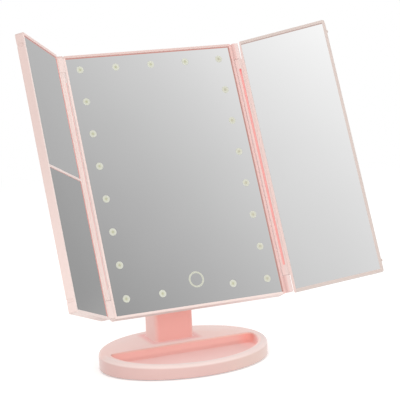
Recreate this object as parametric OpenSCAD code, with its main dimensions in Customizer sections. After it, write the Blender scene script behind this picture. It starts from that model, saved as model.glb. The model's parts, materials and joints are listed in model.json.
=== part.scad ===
// Trifold vanity mirror on a tilting stem, with an oval base that holds a tray and the cells.
// Origin: centre of the base on the surface it stands on. +X right, -Y towards the user, +Z up.
// The head is drawn upright: x across, y behind the plane of the hinge axes, z up its height.

/* [Base] */
// Length of the oval base from left to right
base_length = 154; // [142:1:170]
// Depth of the oval base from front to back
base_depth = 117.6; // [112:0.1:140]
// Height of the base's top face above the table, at its centre
base_height = 15; // [14.8:0.1:22]
// Slope of the base's top face down towards the user, in degrees
base_slope = 2.2; // [0:0.1:3]
// Height of the rubber feet below the base
foot_height = 0.9; // [0.6:0.1:2]
// Radius of a rubber foot
foot_radius = 6; // [4:0.5:7]
// Thickness of the base's side wall
base_wall = 2.2; // [1.6:0.1:3]
// Rounding of the base's upper edge
base_edge = 3.2; // [1:0.1:4]
// Thickness of the bottom cover
cover_thickness = 2.4; // [2:0.1:3.2]

/* [Tray] */
// Depth of the half-moon tray below the top at the base's centre
tray_depth = 8.8; // [5:0.1:9.4]
// Width of the rim at the tray's left and right ends
tray_rim = 8.2; // [8:0.1:12]
// Width of the rim in front of the tray
tray_front_rim = 5; // [4.6:0.1:9]
// Distance of the tray's back wall from the base's back edge
tray_edge = 53.6; // [53.2:0.1:54.2]
// Radius of the tray's inner corners, seen from above
tray_corner = 5.5; // [3:0.5:12]
// Fillet between the tray's floor and its walls
tray_fillet = 2.5; // [0.5:0.1:4]
// Thickness of the tray's floor
tray_floor = 1.6; // [1.2:0.1:2.2]

/* [Stem] */
// Width of the stem
stem_width = 37; // [30:0.5:44]
// Depth of the stem at its foot
stem_depth = 25.6; // [24:0.1:27]
// Distance of the stem's back face from the base's back edge
stem_edge = 15; // [13:0.1:15.4]
// Rounding of the stem's upright edges
stem_corner = 3.5; // [3:0.1:6]
// Wall thickness of the stem
stem_wall = 2.4; // [2:0.1:3]
// Depth of the stem's foot in the base's top face, at the foot's front
stem_seat = 1.0; // [0.6:0.1:1.2]

/* [Tilt pivot] */
// Height of the tilt pivot above the table
pivot_height = 153.2; // [150:0.1:165]
// Distance of the pivot behind the plane of the hinge axes
pivot_setback = 30.4; // [30:0.1:36]
// Radius of the stem's round top and of the bracket's ears
pivot_radius = 10; // [9:0.1:10]
// Radius of the pivot pin
pivot_pin_radius = 3; // [2:0.1:4]
// Thickness of each ear of the bracket
ear_thickness = 5; // [4:0.1:7]
// Thickness of a friction washer
washer_thickness = 0.8; // [0.5:0.1:1.5]
// Tilt of the head back from upright as photographed
head_tilt = 22.85; // [0:0.05:60]

/* [Head] */
// Height of the head
head_height = 232; // [224:1:250]
// Depth of the head's housing
head_depth = 12; // [11.6:0.1:14]
// Width of the bezel round the centre mirror
bezel = 2.05; // [1.6:0.05:2.6]
// Depth of the centre mirror's face below the bezel
glass_recess = 1.5; // [0.5:0.1:2]
// Thickness of the centre mirror
glass_thickness = 2.5; // [2:0.1:3]
// Height of the pivot above the head's bottom edge
pivot_rise = 116; // [110:1:122]
// Thickness of the head's rear cover
rear_cover_thickness = 2.4; // [2:0.1:3]
// Corner rounding of the head and the wings
corner_radius = 2; // [1:0.1:3]

/* [Lights] */
// Radius of a frosted light window
window_radius = 3.25; // [2:0.05:4]
// Distance of the outer window columns from the middle
light_column = 66.2; // [62:0.1:66.8]
// Distance of the top row of windows from the head's top edge
light_top = 12.9; // [12.6:0.1:16]
// Distance of the bottom row of windows from the head's bottom edge
light_bottom = 15.8; // [14:0.1:18]
// Number of windows in each side column, corners included
column_windows = 8; // [4:1:10]
// Number of windows in the top row, corners included
row_windows = 5; // [3:2:5]
// Outer radius of the touch ring
touch_radius = 7; // [5:0.1:9]
// Line width of the touch ring
touch_line = 1.6; // [1:0.1:2.4]
// Height of the touch ring above the bottom row of windows
touch_rise = 8; // [4:0.1:12]

/* [Wing hinges] */
// Distance of each wing's hinge axis from the middle
hinge_x = 83.8; // [82:0.1:88]
// Radius of the hinge ears and of the wing's knuckle
knuckle_radius = 3.2; // [2.8:0.1:3.6]
// Distance of the flat fronts of ears and knuckle from the hinge axis
knuckle_front = 2.4; // [2.2:0.1:2.8]
// Distance from the head's top or bottom edge to the inner end of an ear
ear_length = 15.5; // [12:0.1:20]
// Distance of an ear's outer end from the head's top or bottom edge
ear_inset = 0.8; // [0:0.1:2]
// Radius of a hinge pin
hinge_pin_radius = 1; // [0.8:0.05:1.4]
// Distance that a pin reaches into the knuckle
pin_reach = 8; // [5:0.5:12]
// Gap between faces that turn past each other
hinge_gap = 0.35; // [0.3:0.05:0.5]
// Width of the groove along the front of the knuckle
groove_width = 2; // [1:0.1:2.4]
// Depth of that groove
groove_depth = 1; // [0.5:0.1:1.2]
// Distance of the groove's ends from the knuckle's ends
groove_inset = 9; // [8.5:0.5:16]
// Distance of the groove from the knuckle's middle, towards the wing
groove_shift = 0.7; // [0:0.1:0.8]

/* [Wings] */
// Thickness of a wing
wing_thickness = 7; // [6.4:0.1:9]
// Height of the wings' tops above the head's top
wing_rise = 0.5; // [0:0.1:1]
// Width of a wing's bezel at the top, the bottom and the free edge
wing_bezel = 2.4; // [2.2:0.05:3.4]
// Distance of a wing's mirror from its hinge axis
wing_mirror_start = 5.9; // [5.6:0.1:8]
// Depth of a wing mirror's face below its bezel
wing_recess = 0.9; // [0.2:0.1:1]
// Thickness of a wing mirror
wing_glass = 2; // [1.6:0.1:2.4]
// Height of the bar between the left wing's two mirrors
divider_height = 120; // [60:1:170]
// Width of that bar
divider_width = 2; // [1.4:0.1:4]
// Fold of the left wing forward from the head's plane as photographed
left_fold = 52.6; // [0:0.1:120]
// Fold of the right wing forward from the head's plane as photographed
right_fold = 33.3; // [0:0.1:120]
// Radius of the catch nubs on the right wing's free edge
nub_radius = 1.6; // [1:0.1:1.8]
// Distance of the catch nubs from the wing's top and bottom
nub_inset = 10; // [6:0.5:20]

/* [Hidden] */
$fn = 48;

// Clearances
slip = 0.05;         // a piece that drops into its pocket
pin_play = 0.03;     // radial play of a pin that turns
slide_play = 0.35;   // between the battery door and its channel
cut = 1;             // how far a cut runs past the face it opens

// Base
half_length = base_length / 2;
half_depth = base_depth / 2;
base_bottom = foot_height;
lower_edge = 0.5;
cover_top = base_bottom + cover_thickness;
slope = tan(base_slope);                      // rise of the base's top for each mm to the back
tray_back = half_depth - tray_edge;
tray_z = base_height - tray_depth;
cell_radius = 5.2;
cell_length = 43.7;
cell_tip = 0.8;
cell_tip_radius = 1.9;
door_thickness = 1.4;
door_top = base_bottom + door_thickness;
cell_clearance = 0.25;
cell_z = door_top + slide_play + cell_clearance + cell_radius;
bay_top = cell_z + cell_radius + cell_clearance;
cell_pitch = 2 * cell_radius + 0.5;
bay_front = tray_back + 2 * base_wall + 1;
bay_depth = 2 * cell_pitch + 0.4;
bay_back = bay_front + bay_depth;
contact_thickness = 0.4;
spring_length = 3.2;
partition = 1;
bay_half = partition / 2 + contact_thickness + cell_length + cell_tip + spring_length + contact_thickness;
bay_wall = 1.2;
door_half = bay_half + bay_wall + 0.6;
door_bevel = 0.9;
door_front = bay_front - 2.4;
grip_count = 5;
grip_pitch = 2.4;
base_screw_length = cover_thickness + 4;
base_post_radius = 3;
base_screw_inset = base_wall + 3.1;
rear_screw_x = door_half + slide_play + base_post_radius;
front_screw_angle = 35;
base_screw_places = [for (side = [-1, 1]) each [
  [side * rear_screw_x, oval_y(rear_screw_x, base_screw_inset)],
  on_oval(side, front_screw_angle, base_screw_inset)
]];
foot_gap = 1.5;                               // between a foot and the edges near it
foot_inset = base_wall + foot_radius + foot_gap;
rear_foot_x = door_half + slide_play + foot_radius + foot_gap;
middle_foot_y = door_front - slide_play - foot_radius - foot_gap;
front_foot_angle = 57;
foot_places = [[0, middle_foot_y], for (side = [-1, 1]) each [
  [side * rear_foot_x, oval_y(rear_foot_x, foot_inset)],
  on_oval(side, front_foot_angle, foot_inset)
]];
foot_sunk = 0.8;
socket_z = (cover_top + bay_top) / 2 + 0.4;
socket_half = 3.8;
socket_half_height = 1.4;
socket_length = 6;
socket_back = half_depth - 0.4;
wire_hole = 3;
contact_half = 4;
board_half = 13;
board_length = 15;
board_back = half_depth - base_wall - 2;
board_z = socket_z - socket_half_height - 1.2;

// Stem
stem_front = half_depth - stem_edge - stem_depth;
stem_mid = stem_front + stem_depth / 2;
foot_z = base_height + slope * stem_front - stem_seat;
stem_foot_top = base_height + slope * (stem_front + stem_depth);
flare = 0.8;
flare_height = 1.4;
pivot_y = stem_front + pivot_radius;
barrel_bore = pivot_pin_radius + pin_play;
neck_z = pivot_height - 14;
stem_screw_y = stem_front + stem_depth - stem_wall - 4.8;
stem_post_radius = 3.2;
stem_post_height = 11;
stem_screw_x = stem_width / 2 - 8;
neck_depth = 2 * pivot_radius;
hollow_low = stem_foot_top + flare_height;    // lower end of the hollow in the stem
back_half = stem_width / 2 - stem_corner;     // half width of the opening behind
back_cover = 2;

// Pivot
washer_room = washer_thickness + 0.2;
ear_inner = stem_width / 2 + washer_room;
ear_outer = ear_inner + ear_thickness;
pin_head = 1.6;
plate_thickness = 3;
plate_height = 44;
plate_half = ear_outer + 6;
plate_corner = 4;
bracket_boss = 3;
bracket_screw_places = [
  for (sx = [-1, 1], sz = [-1, 1]) [sx * (plate_half - 3.4), pivot_rise + sz * (plate_height / 2 - 6)]
];

// Head
face = 0.25;                                  // the front faces lie this far behind the hinge axes
head_half = hinge_x - knuckle_radius - hinge_gap;
opening_half = head_half - bezel;
glass_front = face + glass_recess;
glass_back = glass_front + glass_thickness;
ledge = 1.2;
ledge_back = glass_back + ledge;
window_margin = 0.55;
ledge_half = light_column + window_radius + window_margin;
ledge_low = light_bottom - window_radius - window_margin;
ledge_high = head_height - light_top + window_radius + window_margin;
board_lap = 1.5;
board_thickness = 1.2;
board_strip = 11;
cover_front = head_depth - rear_cover_thickness;
boss_radius = 2.6;
screw_radius = 1.1;
screw_head_radius = 2.1;
screw_head = 1.3;
boss_x = opening_half - boss_radius - 0.1;
boss_low = bezel + boss_radius + 0.1;
boss_high = head_height - bezel - boss_radius - 0.1;
boss_rise = 30;                               // of the outer bosses, from the head's top and bottom edges
boss_places = [
  for (side = [-1, 1], z = [boss_rise, head_height / 2, head_height - boss_rise]) [side * boss_x, z],
  [0, boss_low], [0, boss_high]
];
column_step = (head_height - light_top - light_bottom) / (column_windows - 1);
row_step = 2 * light_column / (row_windows - 1);
bottom_middle = (row_windows - 1) / 2;
light_places = [
  for (side = [-1, 1], i = [0 : column_windows - 1]) [side * light_column, light_bottom + i * column_step],
  for (i = [1 : row_windows - 2]) [-light_column + i * row_step, head_height - light_top],
  for (i = [1 : row_windows - 2]) if (i != bottom_middle) [-light_column + i * row_step, light_bottom]
];
rib_rise = 40;                                // of a rib's ends, from the head's top and bottom edges
touch_z = light_bottom + touch_rise;
chip_size = 2.8;
chip_height = 0.9;

// Wings
wing_gap = 0.6;                               // between the free edges of the shut wings
wing_width = hinge_x - wing_gap / 2;
nub_sunk = 0.5;                               // of a nub's centre in the wing's edge
wing_middle = face + wing_thickness / 2;
wing_start = knuckle_radius + 0.45;
wing_back_y = face + wing_thickness;
wing_glass_front = face + wing_recess;
wing_glass_back = wing_glass_front + wing_glass;
pad_thickness = 0.6;
wing_floor = 1.0;
wing_floor_back = wing_glass_back + pad_thickness + wing_floor;
wing_cover = 1.4;
ear_notch = 1.1;                              // how much the frame draws back beside the upper ear
knuckle_low = ear_length + hinge_gap;
knuckle_high = head_height - knuckle_low;
web_depth = knuckle_radius - 0.3;
wing_top = head_height + wing_rise;
mirror_low = wing_bezel;
mirror_high = wing_top - wing_bezel;
rib_pitch = 18;

// Places on the base's oval, drawn in by an inset: at a given x behind the centre, or at an angle before it
function oval_y(x, inset) = (half_depth - inset) * sqrt(1 - pow(x / (half_length - inset), 2));

function on_oval(side, angle, inset) =
  [side * (half_length - inset) * cos(angle), -(half_depth - inset) * sin(angle)];

// Places
module at_head() {
  translate([0, pivot_y, pivot_height])
    rotate([-head_tilt, 0, 0])
      translate([0, -pivot_setback, -pivot_rise]) children();
}

module at_right_wing() {
  at_head() translate([hinge_x, 0, 0]) rotate([0, 0, -right_fold]) children();
}

module at_left_wing() {
  at_head() mirror([1, 0, 0]) translate([hinge_x, 0, 0]) rotate([0, 0, -left_fold]) children();
}

// Outlines
rounds = [0, 22.5, 45, 67.5, 90];             // steps of a rounded edge

function arc(cx, cy, r, from, to, steps = 6) =
  [for (i = [0 : steps]) let (a = from + (to - from) * i / steps) [cx + r * cos(a), cy + r * sin(a)]];

function oval(a, b, count = 96) =
  [for (i = [0 : count - 1]) let (t = i * 360 / count) [a * cos(t), b * sin(t)]];

function rounded_box(x0, y0, x1, y1, r) = concat(
  arc(x1 - r, y1 - r, r, 0, 90),
  arc(x0 + r, y1 - r, r, 90, 180),
  arc(x0 + r, y0 + r, r, 180, 270),
  arc(x1 - r, y0 + r, r, 270, 360)
);

// A closed skin over a stack of rings, lowest first, each with the same number of points.
// Each ring rises to the back by its slope, and its height is that at y = 0.
module loft(outlines, heights, slopes) {
  n = len(outlines[0]);
  last = len(outlines) - 1;
  points = [for (k = [0 : last], p = outlines[k]) [p[0], p[1], heights[k] + slopes[k] * p[1]]];
  sides = [for (k = [0 : last - 1], i = [0 : n - 1]) let (j = (i + 1) % n)
    [k * n + i, (k + 1) * n + i, (k + 1) * n + j, k * n + j]];
  polyhedron(points, concat(sides, [[for (i = [0 : n - 1]) i]], [[for (i = [n - 1 : -1 : 0]) last * n + i]]));
}

// A plate standing upright: its outline lies in x and z, its thickness runs from y0 to y1
module upright(outline, y0, y1) {
  translate([0, y1, 0]) rotate([90, 0, 0]) linear_extrude(y1 - y0) polygon(outline);
}

module upright_box(x0, z0, x1, z1, y0, y1) {
  translate([x0, y0, z0]) cube([x1 - x0, y1 - y0, z1 - z0]);
}

// A round bar along y
module peg(r, x, z, y0, y1) {
  translate([x, y1, z]) rotate([90, 0, 0]) cylinder(r = r, h = y1 - y0);
}

// A round bar along x
module bar(r, y, z, x0, x1) {
  translate([x0, y, z]) rotate([0, 90, 0]) cylinder(r = r, h = x1 - x0);
}

// ---------- Base ----------

// Outline of the tray, drawn in by d: an oval cut off straight at the back, with round corners
function tray_outline(d) =
  let (a = half_length - tray_rim - tray_corner, b = half_depth - tray_front_rim - tray_corner)
  let (y = tray_back - tray_corner, t = asin(y / b), x = a * cos(t))
  let (r = tray_corner - d, corner = atan2(sin(t) / b, cos(t) / a), steps = 36)
  concat(
    arc(x, y, r, corner, 90),
    arc(-x, y, r, 90, 180 - corner),
    [for (i = [1 : steps - 1]) let (u = 180 - t + (180 + 2 * t) * i / steps)
      let (nx = cos(u) / a, ny = sin(u) / b, n = norm([nx, ny]))
        [a * cos(u) + r * nx / n, b * sin(u) + r * ny / n]]
  );

module tray_cut() {
  loft(
    concat([for (a = rounds) tray_outline(tray_fillet * (1 - sin(a)))], [tray_outline(0)]),
    concat([for (a = rounds) tray_z + tray_fillet * (1 - cos(a))], [base_height + cut]),
    [for (i = [0 : len(rounds)]) 0]
  );
}

module base_outer() {
  insets = concat([lower_edge, 0], [for (a = rounds) base_edge * (1 - cos(a))]);
  heights = concat(
    [base_bottom, base_bottom + lower_edge],
    [for (a = rounds) base_height - base_edge * (1 - sin(a))]
  );
  loft(
    [for (d = insets) oval(half_length - d, half_depth - d, 72)],
    heights,
    concat([0, 0], [for (a = rounds) slope])
  );
}

module rear_hollow(inset, z0, z1) {
  translate([0, 0, z0]) linear_extrude(z1 - z0) intersection() {
    polygon(oval(half_length - inset, half_depth - inset, 72));
    translate([-base_length, tray_back + base_wall]) square([2 * base_length, base_depth]);
  }
}

function stem_outline(depth, grow) =
  let (x = stem_width / 2 + grow)
  rounded_box(-x, stem_front - grow, x, stem_front + depth + grow, stem_corner + grow);

module base_shell() {
  color([0.94, 0.78, 0.75]) difference() {
    union() {
      difference() {
        base_outer();
        tray_cut();
        // hollow under the tray, and the deeper one behind it
        translate([0, 0, base_bottom - cut])
          linear_extrude(tray_z - tray_floor - base_bottom + cut)
            polygon(oval(half_length - base_wall, half_depth - base_wall, 72));
        rear_hollow(base_wall, base_bottom - cut, bay_top);
      }
      // posts that take the bottom cover's screws
      for (p = base_screw_places) translate([p[0], p[1], cover_top])
        cylinder(r = base_post_radius, h = (p[1] > 0 ? bay_top : tray_z - tray_floor) - cover_top + 0.3);
    }
    for (p = base_screw_places) translate([p[0], p[1], cover_top - cut])
      cylinder(r = screw_radius + 0.02, h = base_screw_length - cover_thickness + cut + 0.3);
    // seat of the stem, with its two screw holes and its wire hole
    translate([0, 0, foot_z]) linear_extrude(stem_foot_top - foot_z + cut)
      polygon(stem_outline(stem_depth, slip));
    for (side = [-1, 1]) translate([side * stem_screw_x, stem_screw_y, base_bottom])
      cylinder(r = screw_radius + 0.2, h = base_height);
    translate([0, stem_screw_y, base_bottom]) cylinder(r = wire_hole, h = base_height);
    // way out of the battery door, and the charging port
    translate([-door_half - slide_play, door_front, base_bottom - cut])
      cube([2 * (door_half + slide_play), base_depth, cut + door_thickness + slide_play]);
    translate([-socket_half - slip, half_depth - base_wall - 4, socket_z - socket_half_height - slip])
      cube([2 * (socket_half + slip), base_wall + 8, 2 * (socket_half_height + slip)]);
  }
}

// Outline across the battery door, grown by g for its channel, between two heights
function door_section(g, z0, z1) = [
  [-door_half + door_bevel - g, -z0], [door_half - door_bevel + g, -z0],
  [door_half - door_bevel + g, -base_bottom], [door_half + g, -door_top],
  [door_half + g, -z1], [-door_half - g, -z1],
  [-door_half - g, -door_top], [-door_half + door_bevel - g, -base_bottom]
];

module base_bottom_cover() {
  inset = base_wall + 0.15;
  color([0.92, 0.76, 0.73]) difference() {
    union() {
      translate([0, 0, base_bottom]) linear_extrude(cover_thickness)
        polygon(oval(half_length - inset, half_depth - inset, 72));
      // walls of the battery bay
      translate([-bay_half - bay_wall, bay_front - bay_wall, cover_top - 0.2])
        cube([2 * (bay_half + bay_wall), bay_depth + 2 * bay_wall, bay_top - cover_top - 0.1]);
      // posts under the charging board
      for (side = [-1, 1]) translate([side * (board_half - 3), board_back - 4, cover_top - 0.2])
        cylinder(r = 2.2, h = board_z - cover_top + 0.2);
    }
    // one bay for each pair of cells, with a partition between them
    for (side = [-1, 1]) translate([side < 0 ? -bay_half : partition / 2, bay_front, base_bottom - cut])
      cube([bay_half - partition / 2, bay_depth, base_height]);
    // channel of the battery door
    translate([0, door_front - slide_play, 0]) rotate([-90, 0, 0]) linear_extrude(base_depth)
      polygon(door_section(slide_play, base_bottom - cut, door_top + slide_play));
    for (p = base_screw_places) translate([p[0], p[1], base_bottom - cut]) {
      cylinder(r = screw_radius + 0.3, h = 2 * cover_thickness);
      cylinder(r = screw_head_radius + 0.2, h = cut + screw_head);
    }
    for (p = foot_places) translate([p[0], p[1], base_bottom - cut])
      cylinder(r = foot_radius + slip, h = cut + foot_sunk);
  }
}

module rubber_feet() {
  color([0.85, 0.85, 0.85]) for (p = foot_places) translate([p[0], p[1], 0])
    rotate_extrude() polygon([
      [0, 0], [foot_radius - 0.4, 0], [foot_radius, 0.4],
      [foot_radius, foot_height + foot_sunk], [0, foot_height + foot_sunk]
    ]);
}

module battery_door() {
  color([0.92, 0.76, 0.73]) difference() {
    intersection() {
      translate([0, door_front, 0]) rotate([-90, 0, 0]) linear_extrude(base_depth)
        polygon(door_section(0, base_bottom, door_top));
      translate([0, 0, base_bottom - cut]) linear_extrude(base_height)
        polygon(oval(half_length - 0.5, half_depth - 0.5, 72));
    }
    // finger grip
    for (i = [0 : grip_count - 1]) bar(0.6, bay_back + 12 + i * grip_pitch, base_bottom, -13, 13);
  }
}

function cell_y(row) = bay_front + 0.2 + (row + 0.5) * cell_pitch;

// The cells of row 0 point outwards and those of row 1 inwards, on both sides of the partition
module battery_cells() {
  color([0.35, 0.4, 0.45]) for (row = [0, 1], side = [-1, 1]) {
    inner_room = row == 0 ? spring_length : cell_tip;
    x = partition / 2 + contact_thickness + inner_room + cell_length / 2;
    translate([side * x, cell_y(row), cell_z]) rotate([0, (row == 0 ? side : -side) * 90, 0]) {
      translate([0, 0, -cell_length / 2]) cylinder(r = cell_radius, h = cell_length);
      cylinder(r = cell_tip_radius, h = cell_length / 2 + cell_tip);
    }
  }
}

// A plate at each end of each cell, with a spring cone against the cell's flat end
module battery_contacts() {
  color([0.8, 0.8, 0.78]) for (row = [0, 1], side = [-1, 1]) {
    inner = partition / 2;
    outer = bay_half - contact_thickness;
    for (x = [inner, outer])
      translate([side > 0 ? x : -x - contact_thickness, cell_y(row) - contact_half, cell_z - contact_half])
        cube([contact_thickness, 2 * contact_half, 2 * contact_half]);
    spring_x = row == 0 ? inner + contact_thickness : outer;
    translate([side * spring_x, cell_y(row), cell_z]) rotate([0, (row == 0 ? side : -side) * 90, 0])
      cylinder(r1 = 3.4, r2 = 2.2, h = spring_length - slip);
  }
}

module charging_board() {
  color([0.1, 0.45, 0.25]) translate([-board_half, board_back - board_length, board_z])
    cube([2 * board_half, board_length, socket_z - socket_half_height - board_z]);
}

module charging_socket() {
  color([0.75, 0.76, 0.78]) difference() {
    translate([-socket_half, socket_back - socket_length, socket_z - socket_half_height])
      cube([2 * socket_half, socket_length, 2 * socket_half_height]);
    translate([-socket_half + 0.4, socket_back - socket_length + 0.8, socket_z - socket_half_height + 0.4])
      cube([2 * socket_half - 0.8, socket_length, 2 * socket_half_height - 0.8]);
  }
  color([0.1, 0.1, 0.1]) translate([-1.8, socket_back - socket_length + 0.7, socket_z - 0.3])
    cube([3.6, 4, 0.6]);
}

module base_screws() {
  color([0.7, 0.7, 0.72]) for (p = base_screw_places) translate([p[0], p[1], base_bottom]) {
    cylinder(r = screw_head_radius, h = screw_head);
    cylinder(r = screw_radius, h = base_screw_length);
  }
}

// ---------- Stem ----------

module stem_body() {
  wall_x = stem_width / 2 - stem_wall;
  color([0.93, 0.72, 0.68]) difference() {
    union() {
      difference() {
        union() {
          // the column, with a small flare where it meets the base
          loft(
            concat(
              [for (grow = [0, 0, flare, 0]) stem_outline(stem_depth, grow)],
              [for (i = [0, 1]) stem_outline(neck_depth, 0)]
            ),
            [foot_z, base_height, base_height, base_height + flare_height, neck_z, pivot_height],
            [0, slope, slope, slope, 0, 0]
          );
          bar(pivot_radius, pivot_y, pivot_height, -stem_width / 2, stem_width / 2);
        }
        // hollow, narrower at the back where the rear cover closes it
        translate([-wall_x, stem_front + stem_wall, hollow_low])
          cube([2 * wall_x, neck_depth - 2 * stem_wall, neck_z - hollow_low]);
        translate([-back_half, stem_mid, hollow_low])
          cube([2 * back_half, stem_depth, neck_z - hollow_low]);
      }
      // posts for the screws that come up through the base
      for (side = [-1, 1]) translate([side * stem_screw_x, stem_screw_y, foot_z])
        cylinder(r = stem_post_radius, h = stem_post_height);
    }
    for (side = [-1, 1]) translate([side * stem_screw_x, stem_screw_y, foot_z - cut])
      cylinder(r = screw_radius + 0.02, h = stem_post_height - 1 + cut);
    translate([0, stem_screw_y, foot_z - cut]) cylinder(r = wire_hole, h = 2 * cut + hollow_low - foot_z);
    bar(barrel_bore, pivot_y, pivot_height, -stem_width, stem_width);
  }
}

module stem_rear_cover() {
  half = back_half - slip;
  low = hollow_low + slip;
  high = neck_z - slip;
  function back(z) =
    stem_front + stem_depth - (stem_depth - neck_depth) * (z - hollow_low) / (neck_z - hollow_low);
  color([0.93, 0.74, 0.70]) translate([-half, 0, 0]) rotate([90, 0, 90]) linear_extrude(2 * half) polygon([
    [back(low), low], [back(high), high], [back(high) - back_cover, high], [back(low) - back_cover, low]
  ]);
}

module stem_screws() {
  color([0.7, 0.7, 0.72]) for (side = [-1, 1])
    translate([side * stem_screw_x, stem_screw_y, bay_top - screw_head]) {
    cylinder(r = screw_head_radius, h = screw_head);
    cylinder(r = screw_radius, h = foot_z + stem_post_height - 2 - bay_top + screw_head);
  }
}

// ---------- Tilt pivot ----------

module pivot_bracket() {
  back = head_depth;
  plate_back = back + plate_thickness;
  low = pivot_rise - plate_height / 2;
  color([0.93, 0.74, 0.70]) at_head() difference() {
    union() {
      upright(rounded_box(-plate_half, low, plate_half, low + plate_height, plate_corner), back, plate_back);
      for (x = [-ear_outer, ear_inner]) {
        bar(pivot_radius, pivot_setback, pivot_rise, x, x + ear_thickness);
        translate([x, back + plate_thickness / 2, pivot_rise - pivot_radius])
          cube([ear_thickness, pivot_setback - back - plate_thickness / 2, 2 * pivot_radius]);
        // gusset down the plate
        translate([x, 0, 0]) rotate([90, 0, 90]) linear_extrude(ear_thickness) polygon([
          [back + 1, low + 3], [plate_back, low + 3],
          [pivot_setback - pivot_radius / 2, pivot_rise - pivot_radius + 0.5],
          [pivot_setback - pivot_radius / 2, pivot_rise + pivot_radius - 0.5],
          [plate_back, low + plate_height - 3], [back + 1, low + plate_height - 3]
        ]);
      }
    }
    bar(pivot_pin_radius + slip, pivot_setback, pivot_rise, -plate_half, plate_half);
    // the pin's head and its nut sit in counterbores
    bar(pivot_pin_radius + 2.2, pivot_setback, pivot_rise, -ear_outer - cut, -ear_outer + pin_head + 0.2);
    bar(pivot_pin_radius + 2.6, pivot_setback, pivot_rise, ear_outer - pin_head - 0.6, ear_outer + cut);
    for (p = bracket_screw_places)
      peg(screw_radius + 0.2, p[0], p[1], back - cut, plate_back + cut);
    for (p = bracket_screw_places)
      peg(screw_head_radius + 0.2, p[0], p[1], plate_back - screw_head, plate_back + cut);
  }
}

module bracket_screws() {
  color([0.7, 0.7, 0.72]) at_head() for (p = bracket_screw_places) {
    top = head_depth + plate_thickness;
    peg(screw_head_radius, p[0], p[1], top - screw_head, top);
    peg(screw_radius, p[0], p[1], cover_front - 2.4, top - screw_head / 2);
  }
}

module pivot_pin() {
  color([0.72, 0.73, 0.75]) at_head() {
    bar(pivot_pin_radius, pivot_setback, pivot_rise, -ear_outer + pin_head / 2, ear_outer - slip);
    bar(pivot_pin_radius + 2, pivot_setback, pivot_rise, -ear_outer + 0.2, -ear_outer + pin_head + 0.2);
  }
}

module pivot_nut() {
  color([0.72, 0.73, 0.75]) at_head() difference() {
    translate([ear_outer - pin_head - 0.6, pivot_setback, pivot_rise]) rotate([0, 90, 0])
      cylinder(r = pivot_pin_radius + 2.2, h = pin_head + 0.4, $fn = 6);
    bar(pivot_pin_radius + 0.02, pivot_setback, pivot_rise, ear_outer - 4, ear_outer + 4);
  }
}

module friction_washers() {
  color([0.25, 0.25, 0.26]) at_head() for (side = [-1, 1]) difference() {
    middle = side * (stem_width / 2 + washer_room / 2);
    bar(
      pivot_radius - 1.5, pivot_setback, pivot_rise,
      middle - washer_thickness / 2, middle + washer_thickness / 2
    );
    bar(pivot_pin_radius + slip, pivot_setback, pivot_rise, middle - 2, middle + 2);
  }
}

// ---------- Head ----------

module head_frame() {
  color([0.96, 0.86, 0.84]) at_head() {
    difference() {
      union() {
        upright(rounded_box(-head_half, 0, head_half, head_height, corner_radius), face, head_depth);
        for (side = [-1, 1], z = [ear_inset, head_height - ear_length]) {
          translate([side * hinge_x, 0, z]) hinge_bar(ear_length - ear_inset);
          translate([side > 0 ? head_half - cut : -hinge_x, face, z])
            cube([hinge_x - head_half + cut, web_depth - face, ear_length - ear_inset]);
        }
      }
      upright_box(-opening_half, bezel, opening_half, head_height - bezel, -cut, glass_back);
      upright_box(-ledge_half, ledge_low, ledge_half, ledge_high, 0, head_depth);
      upright_box(-opening_half, bezel, opening_half, head_height - bezel, ledge_back, head_depth + cut);
      for (side = [-1, 1]) translate([side * hinge_x, 0, -cut])
        cylinder(r = hinge_pin_radius + 0.02, h = head_height + 2 * cut);
    }
    for (p = boss_places) difference() {
      peg(boss_radius, p[0], p[1], ledge_back - 0.2, cover_front);
      peg(screw_radius + 0.02, p[0], p[1], ledge_back, head_depth);
    }
  }
}

module head_rear_cover() {
  x = opening_half - slip;
  low = bezel + slip;
  high = head_height - bezel - slip;
  color([0.95, 0.82, 0.79]) at_head() difference() {
    union() {
      upright_box(-x, low, x, high, cover_front, head_depth);
      // ribs that hold the light board against the ledge, and bosses for the bracket
      for (side = [-1, 1]) {
        rib = side * (ledge_half - 1);
        upright_box(rib - 0.6, rib_rise, rib + 0.6, head_height - rib_rise,
          ledge_back + board_thickness + slip, cover_front + 0.2);
      }
      for (p = bracket_screw_places) peg(bracket_boss, p[0], p[1], cover_front - 3, cover_front + 0.2);
    }
    for (p = boss_places) {
      peg(screw_radius + 0.2, p[0], p[1], cover_front - cut, head_depth + cut);
      peg(screw_head_radius + 0.2, p[0], p[1], head_depth - screw_head - 0.1, head_depth + cut);
    }
    for (p = bracket_screw_places) peg(screw_radius + 0.02, p[0], p[1], cover_front - 2.6, head_depth + cut);
    // the wire from the stem comes in here
    peg(wire_hole, 0, pivot_rise - plate_height / 2 - 8, cover_front - cut, head_depth + cut);
  }
}

module head_screws() {
  color([0.7, 0.7, 0.72]) at_head() for (p = boss_places) {
    peg(screw_head_radius, p[0], p[1], head_depth - screw_head - 0.1, head_depth - 0.1);
    peg(screw_radius, p[0], p[1], ledge_back + 0.3, head_depth - screw_head / 2);
  }
}

module centre_mirror() {
  x = opening_half - slip;
  color([0.74, 0.75, 0.76]) at_head() difference() {
    upright_box(-x, bezel + slip, x, head_height - bezel - slip, glass_front, glass_back);
    for (p = light_places) peg(window_radius + slip, p[0], p[1], 0, head_depth);
    difference() {
      peg(touch_radius + slip, 0, touch_z, 0, glass_front + 0.8);
      peg(touch_radius - touch_line - slip, 0, touch_z, -cut, head_depth);
    }
  }
}

module light_windows() {
  color([0.83, 0.84, 0.78]) at_head()
    for (p = light_places) peg(window_radius, p[0], p[1], glass_front, glass_back);
}

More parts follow.
